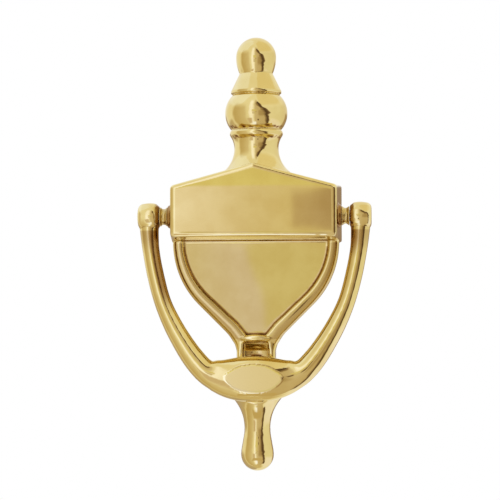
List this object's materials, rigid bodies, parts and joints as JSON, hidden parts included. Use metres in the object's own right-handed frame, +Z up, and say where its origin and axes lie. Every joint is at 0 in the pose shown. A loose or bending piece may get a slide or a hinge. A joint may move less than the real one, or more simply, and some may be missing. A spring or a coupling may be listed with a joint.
{
  "type": "door knocker",
  "caption": "Cast brass urn-pattern door knocker: a hollow-back plate with ball finial, gabled lintel, rimmed bowl and drop, and a hinged bail whose hammer strikes a pad.",
  "frame": {"origin": "on the door face, midway between the two fixing holes", "axes": "+X right, +Z up, the front faces -Y and the door face is the plane y = 0"},
  "size_m": [0.1032, 0.0258, 0.196],
  "materials": {
    "polished_brass": "polished cast brass",
    "turned_brass": "turned brass",
    "pin_steel": "bright turned steel",
    "black_steel": "blackened steel"
  },
  "bodies": {
    "plate": {"urn_plate": "polished_brass", "strike_pad": "turned_brass", "left_collar": "turned_brass", "right_collar": "turned_brass"},
    "knocker": {"knocker_bail": "polished_brass", "hammer_button": "turned_brass", "left_pivot_pin": "pin_steel", "right_pivot_pin": "pin_steel", "left_thrust_washer": "pin_steel", "right_thrust_washer": "pin_steel", "left_grub_screw": "black_steel", "right_grub_screw": "black_steel"}
  },
  "joints": [
    {"name": "knocker_swing", "type": "hinge", "parent": "plate", "child": "knocker", "pos_m": [0, -0.015, 0.0342], "axis": [-1, 0, 0], "range_deg": [0, 175]}
  ]
}
